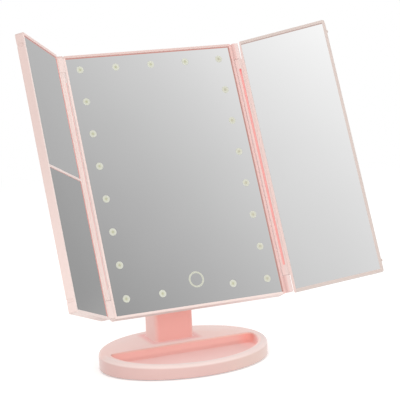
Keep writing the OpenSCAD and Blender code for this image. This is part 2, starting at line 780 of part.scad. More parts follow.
module touch_ring() {
  color([0.85, 0.85, 0.84]) at_head() difference() {
    peg(touch_radius, 0, touch_z, glass_front, glass_front + 0.75);
    peg(touch_radius - touch_line, 0, touch_z, 0, head_depth);
  }
}

module led_board() {
  x = ledge_half + board_lap;
  low = ledge_low - board_lap;
  high = ledge_high + board_lap;
  color([0.95, 0.95, 0.93]) at_head() difference() {
    upright_box(-x, low, x, high, ledge_back, ledge_back + board_thickness);
    upright_box(-x + board_strip, low + board_strip, x - board_strip, high - board_strip, 0, head_depth);
  }
}

module led_chips() {
  color([0.95, 0.9, 0.6]) at_head() for (p = light_places)
    upright_box(p[0] - chip_size / 2, p[1] - chip_size / 2, p[0] + chip_size / 2, p[1] + chip_size / 2,
      ledge_back - chip_height, ledge_back);
}

module touch_board() {
  half = touch_radius + 4;
  color([0.1, 0.45, 0.25]) at_head()
    upright_box(-half, touch_z - half + 5, half, touch_z + half, glass_back, glass_back + 1);
}

module hinge_pins() {
  color([0.72, 0.73, 0.75]) at_head() for (side = [-1, 1]) translate([side * hinge_x, 0, 0]) {
    pin_low = ear_inset + 0.5;
    pin_length = ear_length + pin_reach - pin_low;
    for (z = [pin_low, head_height - pin_low - pin_length])
      translate([0, 0, z]) cylinder(r = hinge_pin_radius, h = pin_length);
  }
}

// ---------- Wings, drawn flat with the hinge axis at x = 0 ----------

// A round bar about a hinge axis with a flat front
module hinge_bar(length) {
  intersection() {
    cylinder(r = knuckle_radius, h = length);
    translate([-knuckle_radius, -knuckle_front, 0]) cube([2 * knuckle_radius, 2 * knuckle_radius, length]);
  }
}

// Outline of a wing's frame, drawn back beside the upper ear
function wing_outline() = concat(
  [[wing_start, 0], [wing_start, knuckle_high], [wing_start + ear_notch, wing_top]],
  arc(wing_width - corner_radius, wing_top - corner_radius, corner_radius, 90, 0),
  arc(wing_width - corner_radius, corner_radius, corner_radius, 0, -90)
);

module wing_frame(mirrors) {
  far = wing_width - wing_bezel;
  difference() {
    union() {
      upright(wing_outline(), face, wing_back_y);
      translate([0, 0, knuckle_low]) hinge_bar(knuckle_high - knuckle_low);
      translate([0, face, knuckle_low])
        cube([wing_start + cut, web_depth - face, knuckle_high - knuckle_low]);
    }
    // pockets for the mirrors at the front and for the back panel behind
    for (m = mirrors) upright_box(wing_mirror_start, m[0], far, m[1], -cut, wing_glass_back + pad_thickness);
    difference() {
      upright_box(wing_mirror_start, mirror_low, far, mirror_high, wing_floor_back, wing_back_y + cut);
      // ribs across the hollow
      for (i = [1 : floor((mirror_high - mirror_low) / rib_pitch) - 1])
        upright_box(0, mirror_low + i * rib_pitch - 0.5, wing_width, mirror_low + i * rib_pitch + 0.5,
          0, wing_back_y - wing_cover - slip);
    }
    for (z = [knuckle_low - cut, knuckle_high - pin_reach - cut]) translate([0, 0, z])
      cylinder(r = hinge_pin_radius + pin_play, h = pin_reach + 2 * cut);
    // groove along the front of the knuckle, with round ends
    low = knuckle_low + groove_inset + groove_width / 2;
    high = knuckle_high - groove_inset - groove_width / 2;
    left = groove_shift - groove_width / 2;
    bottom = -knuckle_front + groove_depth;
    upright_box(left, low, left + groove_width, high, -knuckle_radius, bottom);
    for (z = [low, high]) peg(groove_width / 2, groove_shift, z, -knuckle_radius, bottom);
  }
}

module wing_back() {
  upright_box(wing_mirror_start + slip, mirror_low + slip, wing_width - wing_bezel - slip, mirror_high - slip,
    wing_back_y - wing_cover, wing_back_y);
}

module wing_mirror(low, high) {
  upright_box(wing_mirror_start + slip, low + slip, wing_width - wing_bezel - slip, high - slip,
    wing_glass_front, wing_glass_back);
}

module wing_pad(low, high) {
  margin = 8;
  upright_box(wing_mirror_start + margin, low + margin, wing_width - wing_bezel - margin, high - margin,
    wing_glass_back, wing_glass_back + pad_thickness);
}

divider_low = divider_height - divider_width / 2;
divider_high = divider_height + divider_width / 2;
catch_heights = [nub_inset, head_height - nub_inset];

module left_wing_frame() {
  color([0.93, 0.84, 0.82]) at_left_wing() difference() {
    wing_frame([[mirror_low, divider_low], [divider_high, mirror_high]]);
    // notches, open behind, that take the right wing's nubs when both wings are shut
    for (z = catch_heights)
      peg(nub_radius + 0.4, wing_width + wing_gap + nub_sunk, z, wing_middle - 2, wing_back_y + cut);
  }
}

module right_wing_frame() {
  color([0.95, 0.86, 0.84]) at_right_wing() {
    wing_frame([[mirror_low, mirror_high]]);
    for (z = catch_heights) translate([wing_width - nub_sunk, wing_middle, z]) sphere(r = nub_radius);
  }
}

module left_wing_back() { color([0.95, 0.82, 0.79]) at_left_wing() wing_back(); }

module right_wing_back() { color([0.95, 0.82, 0.79]) at_right_wing() wing_back(); }

module left_upper_mirror() { color([0.7, 0.7, 0.7]) at_left_wing() wing_mirror(divider_high, mirror_high); }

module left_lower_mirror() { color([0.62, 0.62, 0.62]) at_left_wing() wing_mirror(mirror_low, divider_low); }

module right_mirror() { color([0.88, 0.88, 0.88]) at_right_wing() wing_mirror(mirror_low, mirror_high); }

module left_mirror_pads() {
  color([0.95, 0.95, 0.95]) at_left_wing() {
    wing_pad(divider_high, mirror_high);
    wing_pad(mirror_low, divider_low);
  }
}

module right_mirror_pad() { color([0.95, 0.95, 0.95]) at_right_wing() wing_pad(mirror_low, mirror_high); }

base_shell();
base_bottom_cover();
battery_door();
rubber_feet();
base_screws();
battery_cells();
battery_contacts();
charging_board();
charging_socket();
stem_body();
stem_rear_cover();
stem_screws();
pivot_bracket();
bracket_screws();
pivot_pin();
pivot_nut();
friction_washers();
head_frame();
head_rear_cover();
head_screws();
centre_mirror();
light_windows();
touch_ring();
led_board();
led_chips();
touch_board();
hinge_pins();
left_wing_frame();
left_wing_back();
left_upper_mirror();
left_lower_mirror();
left_mirror_pads();
right_wing_frame();
right_wing_back();
right_mirror();
right_mirror_pad();
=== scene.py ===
"""Looks of the trifold vanity mirror: materials, softened edges, light windows, studio and camera."""

import json
import math

import bmesh
import bpy
from mathutils import Matrix, Vector

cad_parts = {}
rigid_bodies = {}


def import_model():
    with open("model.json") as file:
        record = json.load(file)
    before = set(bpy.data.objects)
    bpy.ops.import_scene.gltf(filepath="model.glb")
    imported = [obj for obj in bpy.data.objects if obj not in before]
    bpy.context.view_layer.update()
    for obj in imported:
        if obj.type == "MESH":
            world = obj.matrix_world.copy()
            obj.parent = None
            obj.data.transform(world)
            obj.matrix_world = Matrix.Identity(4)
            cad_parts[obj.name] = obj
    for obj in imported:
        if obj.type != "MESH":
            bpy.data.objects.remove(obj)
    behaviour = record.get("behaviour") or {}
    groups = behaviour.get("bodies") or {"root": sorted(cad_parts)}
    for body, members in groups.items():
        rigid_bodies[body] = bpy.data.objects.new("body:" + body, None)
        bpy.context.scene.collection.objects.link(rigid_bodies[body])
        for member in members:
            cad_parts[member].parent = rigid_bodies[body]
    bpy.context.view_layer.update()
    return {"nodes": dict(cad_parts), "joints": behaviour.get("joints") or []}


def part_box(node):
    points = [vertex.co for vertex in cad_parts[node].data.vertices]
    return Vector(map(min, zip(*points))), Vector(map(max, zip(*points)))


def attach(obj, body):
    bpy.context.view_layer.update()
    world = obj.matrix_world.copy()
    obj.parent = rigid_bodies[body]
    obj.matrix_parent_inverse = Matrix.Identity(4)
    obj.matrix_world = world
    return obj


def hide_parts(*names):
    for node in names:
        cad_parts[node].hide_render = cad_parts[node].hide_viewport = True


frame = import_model()
nodes = frame["nodes"]
joints = {j["name"]: j for j in frame["joints"]}
MM = 0.001
SOFT_EDGE = 0.1 * MM      # half the width over which a tint fades at a border
GRAIN = 0.1 * MM          # depth of the fine grain on surfaces


# ---------- Places on the object, in the row frame ----------

def hinge_frame(name, out):
    """Origin and axes of a wing at rest: x runs away from the hinge, y behind the mirror, z up the wing."""
    j = joints[name]
    up = Vector(j["axis"]).normalized()
    if up.z < 0:
        up = -up
    centre = Vector(j["pos_m"])
    glass = nodes["left_upper_mirror" if out < 0 else "right_mirror"].data
    middle = sum((v.co for v in glass.vertices), Vector()) / len(glass.vertices)
    y = max(glass.polygons, key=lambda face: face.area).normal.copy()      # square to the wing's face
    x = y.cross(up) * out
    if x.dot(middle - centre) < 0:
        x, y = -x, -y
    return centre, x, y, up


left_wing = hinge_frame("left_wing_fold", -1)
right_wing = hinge_frame("right_wing_fold", 1)
head_up = left_wing[3]
head_centre = (left_wing[0] + right_wing[0]) / 2      # halfway up, midway between the hinge axes
head_frame = (head_centre, Vector((1, 0, 0)), head_up.cross(Vector((1, 0, 0))), head_up)


# ---------- Colours and materials ----------

def srgb(r, g, b):
    """A colour given as it shows on a screen, 0 to 255, as linear values."""
    def one(c):
        c /= 255
        return c / 12.92 if c <= 0.04045 else ((c + 0.055) / 1.055) ** 2.4
    return (one(r), one(g), one(b), 1.0)


class Nodes:
    """A short way to write a material's nodes."""

    def __init__(self, name):
        self.material = bpy.data.materials.new(name)
        self.material.use_nodes = True
        self.tree = self.material.node_tree
        self.shader = self.tree.nodes["Principled BSDF"]

    def add(self, kind, inputs=(), **settings):
        node = self.tree.nodes.new("ShaderNode" + kind)
        for key, value in settings.items():
            setattr(node, key, value)
        for key, value in dict(inputs).items():
            self.put(node.inputs[key], value)
        return node

    def put(self, socket, value):
        if isinstance(value, bpy.types.NodeSocket):
            self.tree.links.new(value, socket)
        else:
            socket.default_value = value

    def set(self, **values):
        for key, value in values.items():
            self.put(self.shader.inputs[key.replace("_", " ")], value)

    def position(self):
        return self.add("TexCoord").outputs["Object"]

    def noise(self, scale, detail):
        inputs = {"Scale": scale, "Detail": detail, "Vector": self.position()}
        return self.add("TexNoise", inputs).outputs["Fac"]

    def math(self, operation, a, b=0.0):
        return self.add("Math", {0: a, 1: b}, operation=operation).outputs[0]

    def along(self, place, axis):
        """Distance in metres along one axis of a place: 0 is x, 1 is y, 2 is z."""
        shift = self.add("VectorMath", {0: self.position(), 1: -place[0]}, operation="ADD").outputs[0]
        distance = self.add("VectorMath", {0: shift, 1: place[1 + axis]}, operation="DOT_PRODUCT")
        return distance.outputs["Value"]

    def span(self, value, low, high, to_low=0.0, to_high=1.0):
        """Goes smoothly from one value to another while the input goes from low to high."""
        inputs = {"Value": value, "From Min": low, "From Max": high, "To Min": to_low, "To Max": to_high}
        return self.add("MapRange", inputs, interpolation_type="SMOOTHSTEP").outputs[0]

    def mix(self, factor, a, b):
        node = self.add("Mix", data_type="RGBA")
        self.put(node.inputs["Factor"], factor)
        self.put(node.inputs[6], a)
        self.put(node.inputs[7], b)
        return node.outputs[2]

    def band(self, value, low, high):
        """1 where a distance in metres lies between two others, with a soft edge, and 0 elsewhere."""
        above = self.span(value, low - SOFT_EDGE, low + SOFT_EDGE)
        below = self.span(value, high - SOFT_EDGE, high + SOFT_EDGE, 1.0, 0.0)
        return self.math("MULTIPLY", above, below)

    def all_of(self, *factors):
        result = factors[0]
        for factor in factors[1:]:
            result = self.math("MULTIPLY", result, factor)
        return result

    def bump(self, height, strength, distance):
        inputs = {"Strength": strength, "Distance": distance, "Height": height}
        return self.add("Bump", inputs).outputs["Normal"]


def plastic(name, colour, shade, roughness=0.34, painted_shading=None, coat=0.0):
    """Moulded plastic: slow change of tone, a fine moulded grain, and a sheen that varies a little."""
    n = Nodes(name)
    tone = n.span(n.noise(14, 3), 0.3, 0.7)
    base = n.mix(tone, srgb(*shade), srgb(*colour))
    # painted_shading, where given, paints light and shade into the colour by place
    if painted_shading:
        base = painted_shading(n, base)
    n.set(
        Base_Color=base,
        Roughness=n.span(n.noise(60, 3), 0.2, 0.8, roughness - 0.04, roughness + 0.04),
        Normal=n.bump(n.noise(1100, 2), 0.02, GRAIN),
        IOR=1.5,
    )
    if coat:
        n.set(Coat_Weight=coat, Coat_Roughness=0.12)
    return n.material


def silver(name, place, middle, across, upward, edges=()):
    """A mirror whose grey, a painted reflection, grows across and up its face by the given amounts per metre.

    Each edge is an axis, the distance where it lies, and the colour of the line that runs along it, a painted
    reflection of the wall beside the glass.
    """
    n = Nodes(name)
    value = n.math("MULTIPLY", n.along(place, 0), across)
    rise = n.math("MULTIPLY", n.along(place, 2), upward)
    grey = n.math("ADD", n.math("ADD", value, rise), middle)
    soft = n.span(n.noise(9, 2), 0.3, 0.7, -0.004, 0.004)
    grey = n.math("ADD", grey, soft)
    tint = n.add("CombineColor", {"Red": grey, "Green": grey, "Blue": grey}).outputs[0]
    face = n.add("Gamma", {"Color": tint, "Gamma": 2.2}).outputs[0]
    for axis, limit, colour in edges:
        start = limit - EDGE_LINE
        near = n.span(n.along(place, axis), start - SOFT_EDGE, start + SOFT_EDGE)
        face = n.mix(near, face, srgb(*colour))
    n.set(Base_Color=face, Metallic=1.0, Roughness=0.1)
    return n.material


def metal(name, colour):
    n = Nodes(name)
    tone = n.span(n.noise(220, 3), 0.3, 0.7, 0.22, 0.38)
    n.set(Base_Color=n.mix(n.noise(90, 2), srgb(*colour), srgb(*[c * 0.9 for c in colour])))
    n.set(Metallic=1.0, Roughness=tone, Normal=n.bump(n.noise(900, 2), 0.05, GRAIN))
    return n.material


def matte(name, colour, roughness=0.6, spread=0.94):
    n = Nodes(name)
    n.set(Base_Color=n.mix(n.noise(120, 4), srgb(*colour), srgb(*[c * spread for c in colour])))
    n.set(Roughness=roughness, Normal=n.bump(n.noise(1800, 3), 0.15, GRAIN))
    return n.material


# Sizes of the solids that the tints follow, in metres
GLASS_HALF, GLASS_HIGH = 78.2 * MM, 113.95 * MM               # half sizes of the centre mirror's opening
WING_GLASS = (5.9 * MM, 81.1 * MM, -113.6 * MM, 114.1 * MM)   # a wing's opening, from its hinge axis
GROOVE = (-0.3 * MM, 1.7 * MM, -2.2 * MM, -1.2 * MM)          # the groove along a knuckle: across and deep
BASE_TOP, BASE_SLOPE = 15 * MM, 0.0384
# the line along a mirror's edge is a painted reflection of the wall beside the glass
EDGE_LINE = 0.8 * MM                                          # width of the line along a mirror's edge
WALL = (0.45 * MM, 2.0 * MM)                                  # depth of the walls round a sunk mirror
WALL_MARGIN = 0.4 * MM                                        # how far their tint reaches past it
TOP_FADE = (0.8 * MM, 0.2 * MM)                               # below an opening's top edge
OUTER_FADE = (50 * MM, -110 * MM)                             # down a wing's outer side
GROOVE_FADE = (86 * MM, 90.5 * MM)                            # near the top of the knuckle's groove
RIM_OVAL = (71.2 * MM, 54.2 * MM)                             # half sizes of the oval along the base's rim
TRAY_FADE = (5 * MM, 8.2 * MM)                                # depth from the tray's wall to its floor
FOOT_SHADOW_SPREAD = (8 * MM, 1 * MM)                                  # distance from the stem's foot
STEM_CORNER = (14.8 * MM, 18.6 * MM)                          # across the stem's rounded edge


def recess_painted_shade(n, base):
    """Painted shade round the centre mirror: deeper pink on its walls, where light bounces between pink
    faces, and darker on the top rail and on the right-hand post and ear.
    """
    x, y, z = (n.along(head_frame, axis) for axis in range(3))
    wall = n.all_of(
        n.band(x, -GLASS_HALF - WALL_MARGIN, GLASS_HALF + WALL_MARGIN),
        n.band(z, -GLASS_HIGH - WALL_MARGIN, GLASS_HIGH + WALL_MARGIN),
        n.band(y, *WALL),
    )
    deep = n.mix(n.span(x, GLASS_HALF - 2 * MM, GLASS_HALF), srgb(*WALL_PINK), srgb(*WALL_SHADE))
    top = n.span(z, GLASS_HIGH - TOP_FADE[0], GLASS_HIGH - TOP_FADE[1])
    deep = n.mix(top, deep, srgb(*WALL_TOP_SHADE))
    base = n.mix(top, base, srgb(*TOP_RAIL_SHADE))
    base = n.mix(n.span(x, GLASS_HALF - 1 * MM, GLASS_HALF), base, srgb(*POST_SHADE))
    base = n.mix(n.span(x, GLASS_HALF + 4 * MM, GLASS_HALF + 5 * MM), base, srgb(*EAR_SHADE))
    return n.mix(wall, base, deep)


def wing_light_and_shade(place, wall_colour, knuckle=None, edge=None):
    """Painted shade on a wing's frame: deeper pink in the groove of the knuckle and on the walls round the
    wing's mirrors.

    knuckle holds the colours painted on the knuckle at the hinge and further out, edge those of the shade
    painted on the outer side's top and foot and on the top rail.
    """
    def tint(n, base):
        x, y, z = (n.along(place, axis) for axis in range(3))
        if knuckle:
            near = n.mix(n.span(x, -1 * MM, 1.5 * MM), srgb(*knuckle[0]), srgb(*knuckle[1]))
            base = n.mix(n.span(x, 5 * MM, 6.5 * MM), near, base)
        deep = srgb(*wall_colour)
        if edge:
            top = n.span(z, WING_GLASS[3] - TOP_FADE[0], WING_GLASS[3] - TOP_FADE[1])
            deep = n.mix(top, deep, srgb(*WALL_TOP_SHADE))
            base = n.mix(top, base, srgb(*edge[2]))
            side = n.mix(n.span(z, *OUTER_FADE), srgb(*edge[0]), srgb(*edge[1]))
            outer = n.all_of(
                n.span(x, WING_GLASS[1] + 0.3 * MM, WING_GLASS[1] + 0.8 * MM),
                n.span(y, 0.2 * MM, 0.7 * MM),
            )
            base = n.mix(outer, base, side)
        groove = n.all_of(n.band(x, GROOVE[0], GROOVE[1]), n.band(y, GROOVE[2], GROOVE[3]))
        left, right, low, high = WING_GLASS
        wall = n.all_of(
            n.band(x, left - WALL_MARGIN, right + WALL_MARGIN),
            n.band(z, low - WALL_MARGIN, high + WALL_MARGIN),
            n.band(y, *WALL),
        )
        rose = n.mix(n.span(z, *GROOVE_FADE), srgb(*GROOVE_PINK), srgb(*GROOVE_DEEP))
        return n.mix(groove, n.mix(wall, base, deep), rose)
    return tint


def base_light_and_shade(n, base):
    """Painted light and shade on the base: deeper pink in the tray, round the outside and at the stem's foot,
    a paler sheen along the front of the rim, and lighter and peachier to the right.
    """
    parts = n.add("SeparateXYZ", {0: n.position()}).outputs
    across = n.math("POWER", n.math("MULTIPLY", parts["X"], 1 / RIM_OVAL[0]), 2.0)
    along = n.math("POWER", n.math("MULTIPLY", parts["Y"], 1 / RIM_OVAL[1]), 2.0)
    outward = n.math("ADD", across, along)
    top = n.math("ADD", n.math("MULTIPLY", parts["Y"], BASE_SLOPE), BASE_TOP)
    depth = n.math("SUBTRACT", top, parts["Z"])
    tray = n.all_of(n.span(outward, 1.0, 0.97), n.span(depth, 0.6 * MM, 1.8 * MM))
    wall = n.all_of(n.span(outward, 1.0, 1.03), n.span(depth, 1.6 * MM, 3.4 * MM))
    rim = n.all_of(n.span(outward, 0.97, 1.03), n.span(parts["Y"], 10 * MM, -10 * MM))
    low, high = (Vector(corner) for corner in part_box("stem_body"))
    middle, half = (low + high) / 2, (high - low) / 2
    beside = n.math("SUBTRACT", n.math("ABSOLUTE", n.math("SUBTRACT", parts["X"], middle.x)), half.x)
    before = n.math("SUBTRACT", n.math("ABSOLUTE", n.math("SUBTRACT", parts["Y"], middle.y)), half.y)
    beside, before = (n.math("MAXIMUM", value, 0.0) for value in (beside, before))
    away = n.math("SQRT", n.math("ADD", n.math("POWER", beside, 2.0), n.math("POWER", before, 2.0)))
    foot = n.span(away, *FOOT_SHADOW_SPREAD)
    inside = n.mix(n.span(depth, *TRAY_FADE), srgb(*TRAY_WALL), srgb(*TRAY_PINK))
    inside = n.mix(n.span(parts["X"], 52 * MM, 66 * MM), inside, srgb(*TRAY_END))
    rightward = n.span(parts["X"], -10 * MM, 50 * MM)
    base = n.mix(rightward, base, srgb(*BASE_PEACH))
    base = n.mix(rim, base, srgb(*RIM_SHEEN))
    base = n.mix(n.all_of(foot, n.span(depth, 1.6 * MM, 0.6 * MM)), base, srgb(*FOOT_SHADOW_PINK))
    return n.mix(wall, n.mix(tray, base, inside), n.mix(rightward, srgb(*SIDE_PINK), srgb(*SIDE_PEACH)))


def stem_tint(n, base):
    """Paler on the stem's two sides, which the studio lights directly."""
    across = n.math("ABSOLUTE", n.add("SeparateXYZ", {0: n.position()}).outputs["X"])
    return n.mix(n.span(across, *STEM_CORNER), base, srgb(*STEM_SIDE))


# Colours as they show on a screen, tuned until the render matched the photograph
BASE_PINK, BASE_SHADE = (243, 204, 194), (240, 199, 189)
# BASE_PEACH: painted light, the base's top lighter to the right; SIDE_PINK and SIDE_PEACH: painted shade on
# its outer side
BASE_PEACH, SIDE_PINK, SIDE_PEACH = (249, 211, 200), (218, 181, 175), (220, 191, 181)
# painted sheen along the front of the base's rim, and painted shade round the stem's foot
RIM_SHEEN, FOOT_SHADOW_PINK = (235, 213, 207), (239, 156, 146)
# painted shade and bounce light in the base's tray, redder towards its right end
TRAY_PINK, TRAY_WALL, TRAY_END = (240, 180, 171), (249, 195, 186), (255, 180, 168)
STEM_PINK, STEM_SHADE, STEM_SIDE = (249, 189, 181), (246, 185, 176), (246, 206, 199)
PALE, PALE_SHADE = (236, 217, 211), (233, 212, 206)
# the right wing's frame painted darker than the left's, and its walls darker still: painted shade
RIGHT_PALE, RIGHT_SHADE, RIGHT_WALL = (210, 195, 188), (207, 191, 184), (196, 168, 160)
# painted shade and bounce light on the walls round the sunk mirrors, darker on the centre's right-hand wall
WALL_PINK, WALL_SHADE = (250, 172, 163), (214, 158, 148)
# painted shade on the centre frame's right-hand post and ear
POST_SHADE, EAR_SHADE = (228, 190, 184), (229, 205, 200)
# painted shade on the centre's top rail and at the top of the walls below the top rails
TOP_RAIL_SHADE, WALL_TOP_SHADE = (220, 193, 186), (214, 146, 136)
# painted light: the right wing's knuckle paler than the rest of its frame
RIGHT_KNUCKLE = (231, 198, 192), (226, 201, 195)
# painted shade on the left wing's outer side, darker at its top, and on its top rail
LEFT_EDGE = (216, 193, 187), (230, 209, 203), (236, 207, 200)      # outer side at its top and foot, top rail
# painted shade in the knuckle's groove, deepest near its top
GROOVE_PINK, GROOVE_DEEP = (243, 172, 167), (241, 136, 135)

look = {
    "base": plastic("pink_base", BASE_PINK, BASE_SHADE, painted_shading=base_light_and_shade, coat=0.6),
    "stem": plastic("pink_stem", STEM_PINK, STEM_SHADE, painted_shading=stem_tint),
    "bracket": plastic("pink_bracket", (244, 180, 171), (241, 174, 165)),
    "cover": plastic("pink_cover", (244, 196, 188), (241, 190, 181), 0.42),
    "frame": plastic("pale_frame", PALE, PALE_SHADE, painted_shading=recess_painted_shade),
    "left_frame": plastic(
        "pale_left_wing", PALE, PALE_SHADE, painted_shading=wing_light_and_shade(left_wing, WALL_PINK, edge=LEFT_EDGE)
    ),
    "right_frame": plastic(
        "pale_right_wing", RIGHT_PALE, RIGHT_SHADE, painted_shading=wing_light_and_shade(right_wing, RIGHT_WALL, RIGHT_KNUCKLE)
    ),
    "rear": plastic("pale_rear", (247, 216, 209), (244, 210, 202), 0.36),
    "steel": metal("steel", (196, 197, 200)),
    "friction": matte("friction", (62, 62, 64)),
    "rubber": matte("rubber", (214, 212, 210), 0.8),
    "cell": matte("cell", (88, 98, 110), 0.4),
    "green": matte("solder_green", (38, 122, 74), 0.4),
    "white": matte("solder_white", (240, 240, 234), 0.5),
    "chip": matte("chip", (244, 226, 120), 0.3),
    "foam": matte("foam", (240, 238, 236), 0.9),
    "ring": matte("touch_ring", (198, 199, 184), 0.45, 0.98),
}

# Each mirror: its grey, a painted reflection, at its place's origin, and how much it grows per metre across
# and up
look["centre_mirror"] = silver(
    "mirror_centre", head_frame, 190 / 255, 222 / 255, 175 / 255,
    [(2, GLASS_HIGH, (205, 150, 140)), (0, GLASS_HALF, (196, 150, 141))],
)
look["left_upper_mirror"] = silver(
    "mirror_left_upper", left_wing, 150 / 255, 0, 112 / 255, [(2, WING_GLASS[3], (196, 128, 120))]
)
look["left_lower_mirror"] = silver("mirror_left_lower", left_wing, 133 / 255, 0, 160 / 255)
look["right_mirror"] = silver(
    "mirror_right", right_wing, 214 / 255, 16 / 255 / 0.08, 32 / 255 / 0.232,
    [(2, WING_GLASS[3], (196, 172, 165))],
)

FINISH = {
    "base_shell": "base", "base_bottom_cover": "cover", "battery_door": "cover", "rubber_feet": "rubber",
    "base_screws": "steel", "battery_cells": "cell", "battery_contacts": "steel", "charging_board": "green",
    "charging_socket": "steel", "stem_body": "stem", "stem_rear_cover": "stem", "stem_screws": "steel",
    "pivot_bracket": "bracket", "bracket_screws": "steel", "pivot_pin": "steel", "pivot_nut": "steel",
    "friction_washers": "friction", "head_frame": "frame", "head_rear_cover": "rear", "head_screws": "steel",
    "centre_mirror": "centre_mirror", "light_windows": "ring", "touch_ring": "ring", "led_board": "white",
    "led_chips": "chip", "touch_board": "green", "hinge_pins": "steel", "left_wing_frame": "left_frame",
    "left_wing_back": "rear", "left_upper_mirror": "left_upper_mirror",
    "left_lower_mirror": "left_lower_mirror",
    "left_mirror_pads": "foam", "right_wing_frame": "right_frame", "right_wing_back": "rear",
    "right_mirror": "right_mirror", "right_mirror_pad": "foam",
}

# Width of the softened edges, in mm
SOFT = {
    "head_frame": 0.5, "left_wing_frame": 0.5, "right_wing_frame": 0.5, "stem_body": 0.4, "base_shell": 0,
    "pivot_bracket": 0.6, "battery_door": 0.3, "base_bottom_cover": 0.3, "head_rear_cover": 0.2,
    "left_wing_back": 0.2, "right_wing_back": 0.2, "stem_rear_cover": 0.2,
}


def soften(piece, width):
    """Rounds a piece's sharp edges, and shades it smooth where it is curved. At width 0 the edges stay."""
    mesh = piece.data
    if "custom_normal" in mesh.attributes:
        mesh.attributes.remove(mesh.attributes["custom_normal"])
    if "sharp_edge" in mesh.attributes:
        mesh.attributes.remove(mesh.attributes["sharp_edge"])
    mesh.shade_smooth()
    weld = piece.modifiers.new("weld", "WELD")
    weld.merge_threshold = 0.00001
    if not width:
        piece.modifiers.new("edges", "EDGE_SPLIT").split_angle = math.radians(32)
        return
    flat = piece.modifiers.new("flat", "DECIMATE")
    flat.decimate_type = "DISSOLVE"
    flat.angle_limit = math.radians(0.5)
    bevel = piece.modifiers.new("edges", "BEVEL")
    bevel.width = width * MM
    bevel.segments = 3
    bevel.limit_method = "ANGLE"
    bevel.angle_limit = math.radians(32)
    bevel.harden_normals = True
    bevel.use_clamp_overlap = True


for name, node in nodes.items():
    node.data.materials.clear()
    node.data.materials.append(look[FINISH[name]])
    if name in SOFT:
        soften(node, SOFT[name])


# ---------- Light windows ----------

def islands(mesh):
    """The centres of a mesh's separate lumps."""
    bm = bmesh.new()
    bm.from_mesh(mesh)
    bmesh.ops.remove_doubles(bm, verts=bm.verts, dist=1e-6)
    seen, centres = set(), []
    for start in bm.verts:
        if start in seen:
            continue
        lump, front = [], [start]
        seen.add(start)
        while front:
            vert = front.pop()
            lump.append(vert.co.copy())
            for edge in vert.link_edges:
                other = edge.other_vert(vert)
                if other not in seen:
                    seen.add(other)
                    front.append(other)
        low = [min(c[i] for c in lump) for i in range(3)]
        high = [max(c[i] for c in lump) for i in range(3)]
        centres.append(Vector([(a + b) / 2 for a, b in zip(low, high)]))
    bm.free()
    return centres


WINDOW_RADIUS, WINDOW_DEPTH = 3.25 * MM, 2.5 * MM
# Rings of a window's face: share of its radius, and how far the face lies behind the mirror's, in mm
WINDOW_RINGS = [
    (0.0, 0.22), (0.14, 0.22), (0.26, 0.2), (0.36, 0.12), (0.5, 0.05), (0.75, 0.03), (0.93, 0.02), (1.0, 0.06)
]
FROST_LEFT, FROST_RIGHT, FROST_DEEP = (208, 209, 196), (204, 203, 189), (203, 205, 189)
DIMPLE_LEFT, DIMPLE_RIGHT, FROST_EDGE = (184, 185, 156), (186, 183, 160), (202, 203, 190)


def window_material():
    """Frosted plastic, darker over the light. The UV's x grows from 0 in the middle to 1 at the edge."""
    n = Nodes("frosted_window")
    outward = n.add("SeparateXYZ", {0: n.add("UVMap", uv_map="ring").outputs[0]}).outputs["X"]
    right = n.span(n.along(head_frame, 0), 30 * MM, 60 * MM)
    pale = n.mix(right, srgb(*FROST_LEFT), srgb(*FROST_RIGHT))
    frost = n.mix(n.span(n.noise(900, 3), 0.3, 0.7), pale, srgb(*FROST_DEEP))
    dimple = n.mix(right, srgb(*DIMPLE_LEFT), srgb(*DIMPLE_RIGHT))
    face = n.mix(n.span(outward, 0.15, 0.6), dimple, frost)
    n.set(Base_Color=n.mix(n.span(outward, 0.86, 1.0), face, srgb(*FROST_EDGE)))
    n.set(Roughness=0.5, Normal=n.bump(n.noise(5000, 2), 0.1, GRAIN / 2))
    return n.material


def make_windows():
    """Frosted windows in the centre mirror, each with a shallow dimple over its light."""
    x, y, up = head_frame[1:]
    mesh = bpy.data.meshes.new("window_lenses")
    bm = bmesh.new()
    uv = bm.loops.layers.uv.new("ring")
    steps = 40
    for middle in islands(nodes["light_windows"].data):
        front = middle - y * (WINDOW_DEPTH / 2)
        rings = []
        for share, depth in WINDOW_RINGS + [(1.0, WINDOW_DEPTH / MM)]:
            count = steps if share else 1
            ring = []
            for i in range(count):
                angle = 2 * math.pi * i / count
                out = (x * math.cos(angle) + up * math.sin(angle)) * (share * WINDOW_RADIUS)
                ring.append((bm.verts.new(front + out + y * (depth * MM)), share))
            rings.append(ring)
        for inner, outer in zip(rings, rings[1:]):
            for i in range(steps):
                j = (i + 1) % steps
                if len(inner) == 1:
                    corners = [inner[0], outer[i], outer[j]]
                else:
                    corners = [inner[i], outer[i], outer[j], inner[j]]
                face = bm.faces.new([c[0] for c in corners])
                face.smooth = True
                for loop, corner in zip(face.loops, corners):
                    loop[uv].uv = (corner[1], 0.5)
        bm.faces.new([c[0] for c in reversed(rings[-1])])
    bmesh.ops.recalc_face_normals(bm, faces=bm.faces)
    bm.to_mesh(mesh)
    bm.free()
    windows = bpy.data.objects.new("window_lenses", mesh)
    bpy.context.scene.collection.objects.link(windows)
    mesh.materials.append(window_material())
    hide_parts("light_windows")
    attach(windows, "head")


make_windows()
for piece in bpy.data.objects:
    if piece.type == "MESH":
        piece.visible_glossy = False      # out of all reflections: the mirrors show only plain surroundings


# ---------- Studio ----------

FLOOR_LIFT = 0.32      # how much whiter the floor looks than it is lit
FLOOR_DROP = 0.1 * MM  # keeps the floor off the undersides of the feet
FLOOR_WHITE = (0.35, 1.2)   # distance in metres over which the floor goes over into plain white
WORLD_LIGHT = 0.82     # the white surroundings as light on the object


